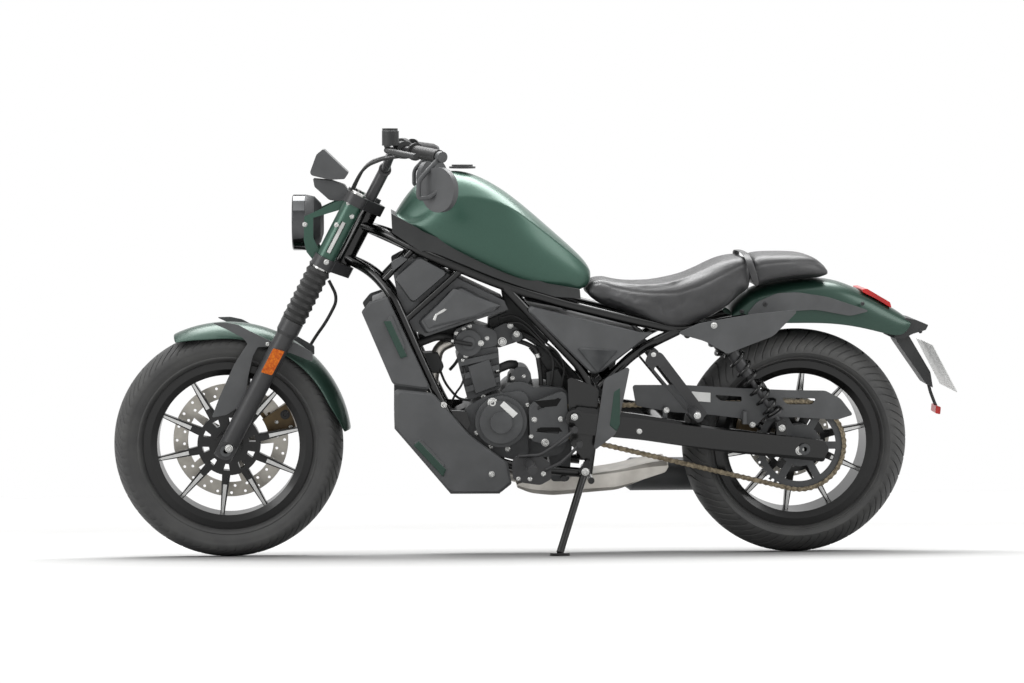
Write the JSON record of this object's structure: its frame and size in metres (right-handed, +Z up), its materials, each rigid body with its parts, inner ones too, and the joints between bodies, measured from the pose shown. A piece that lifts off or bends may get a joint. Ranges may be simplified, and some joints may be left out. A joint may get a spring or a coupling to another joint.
{
  "type": "cruiser motorcycle",
  "caption": "Low cruiser motorcycle with cast wheels, side stand, twin rear shock absorbers, low seat, gaitered fork and chain drive, parked leaning on its stand.",
  "frame": {"origin": "centre of the bounding box's base, on the ground between the wheels", "axes": "+X to the machine's rear, +Z up, the rider's left and the lean towards -Y"},
  "size_m": [2.3053, 0.9552, 1.2013],
  "materials": {
    "amber": "gloss",
    "black_cast": "matte",
    "brake_steel": "satin",
    "bronze": "anodised",
    "cast_wheel": "black with machined edges",
    "chrome": "polished",
    "gloss_black": "gloss",
    "green_paint": "satin metallic",
    "grey_plastic": "satin",
    "lens": "clear",
    "matte_plastic": "matte",
    "pipe_steel": "satin",
    "plate_blank": "blank",
    "red_lens": "gloss",
    "seat_leather": "satin",
    "soft_rubber": "matte",
    "tyre": "matte"
  },
  "bodies": {
    "chassis": {"airbox": "matte_plastic", "belly_pan": "grey_plastic", "chain_guard": "matte_plastic", "coolant_hoses": "soft_rubber", "drive_chain": "bronze", "engine": "black_cast", "engine_covers": "black_cast", "exhaust_header": "pipe_steel", "fender_struts": "grey_plastic", "filler_cap": "matte_plastic", "foot_pegs": "matte_plastic", "frame": "gloss_black", "front_sprocket": "brake_steel", "fuel_tank": "green_paint", "licence_plate": "plate_blank", "pillion_seat": "seat_leather", "plate_holder": "matte_plastic", "radiator": "matte_plastic", "radiator_shrouds": "grey_plastic", "rear_axle": "brake_steel", "rear_caliper": "bronze", "rear_fender": "green_paint", "rider_seat": "seat_leather", "shock_absorbers": "gloss_black", "shock_covers": "grey_plastic", "shock_springs": "gloss_black", "side_panels": "grey_plastic", "silencer": "black_cast", "swingarm": "gloss_black", "tail_lamp": "red_lens", "tank_base": "matte_plastic"},
    "fork": {"bar_cables": "soft_rubber", "bar_controls": "matte_plastic", "brake_hose": "soft_rubber", "fender_stays": "grey_plastic", "fork_gaiters": "soft_rubber", "fork_reflectors": "amber", "fork_sliders": "gloss_black", "fork_tubes": "chrome", "front_axle": "brake_steel", "front_caliper": "bronze", "front_fender": "green_paint", "grips": "soft_rubber", "handlebar": "gloss_black", "handlebar_risers": "gloss_black", "headlight_bracket": "green_paint", "headlight_lens": "lens", "headlight_ring": "chrome", "headlight_shell": "gloss_black", "instrument": "matte_plastic", "mirrors": "matte_plastic", "triple_clamps": "gloss_black"},
    "front_wheel": {"front_disc": "brake_steel", "front_rim": "cast_wheel", "front_tyre": "tyre"},
    "rear_wheel": {"rear_disc": "brake_steel", "rear_rim": "cast_wheel", "rear_sprocket": "brake_steel", "rear_tyre": "tyre"},
    "stand": {"side_stand": "gloss_black"}
  },
  "joints": [
    {"name": "steering", "type": "hinge", "parent": "chassis", "child": "fork", "pos_m": [-0.79992, 0.12733, 0.28765], "axis": [0.4617, -0.154, 0.8735], "range_deg": [-35, 35]},
    {"name": "front_wheel_spin", "type": "hinge", "parent": "fork", "child": "front_wheel", "pos_m": [-0.84072, 0.12364, 0.30857], "axis": [0, 0.9848, 0.1736], "continuous": true},
    {"name": "rear_wheel_spin", "type": "hinge", "parent": "chassis", "child": "rear_wheel", "pos_m": [0.71928, 0.12364, 0.30857], "axis": [0, 0.9848, 0.1736], "continuous": true},
    {"name": "stand_fold", "type": "hinge", "parent": "chassis", "child": "stand", "pos_m": [0.12428, -0.01383, 0.22442], "axis": [0, -0.9581, 0.2863], "range_deg": [0, 101]}
  ]
}
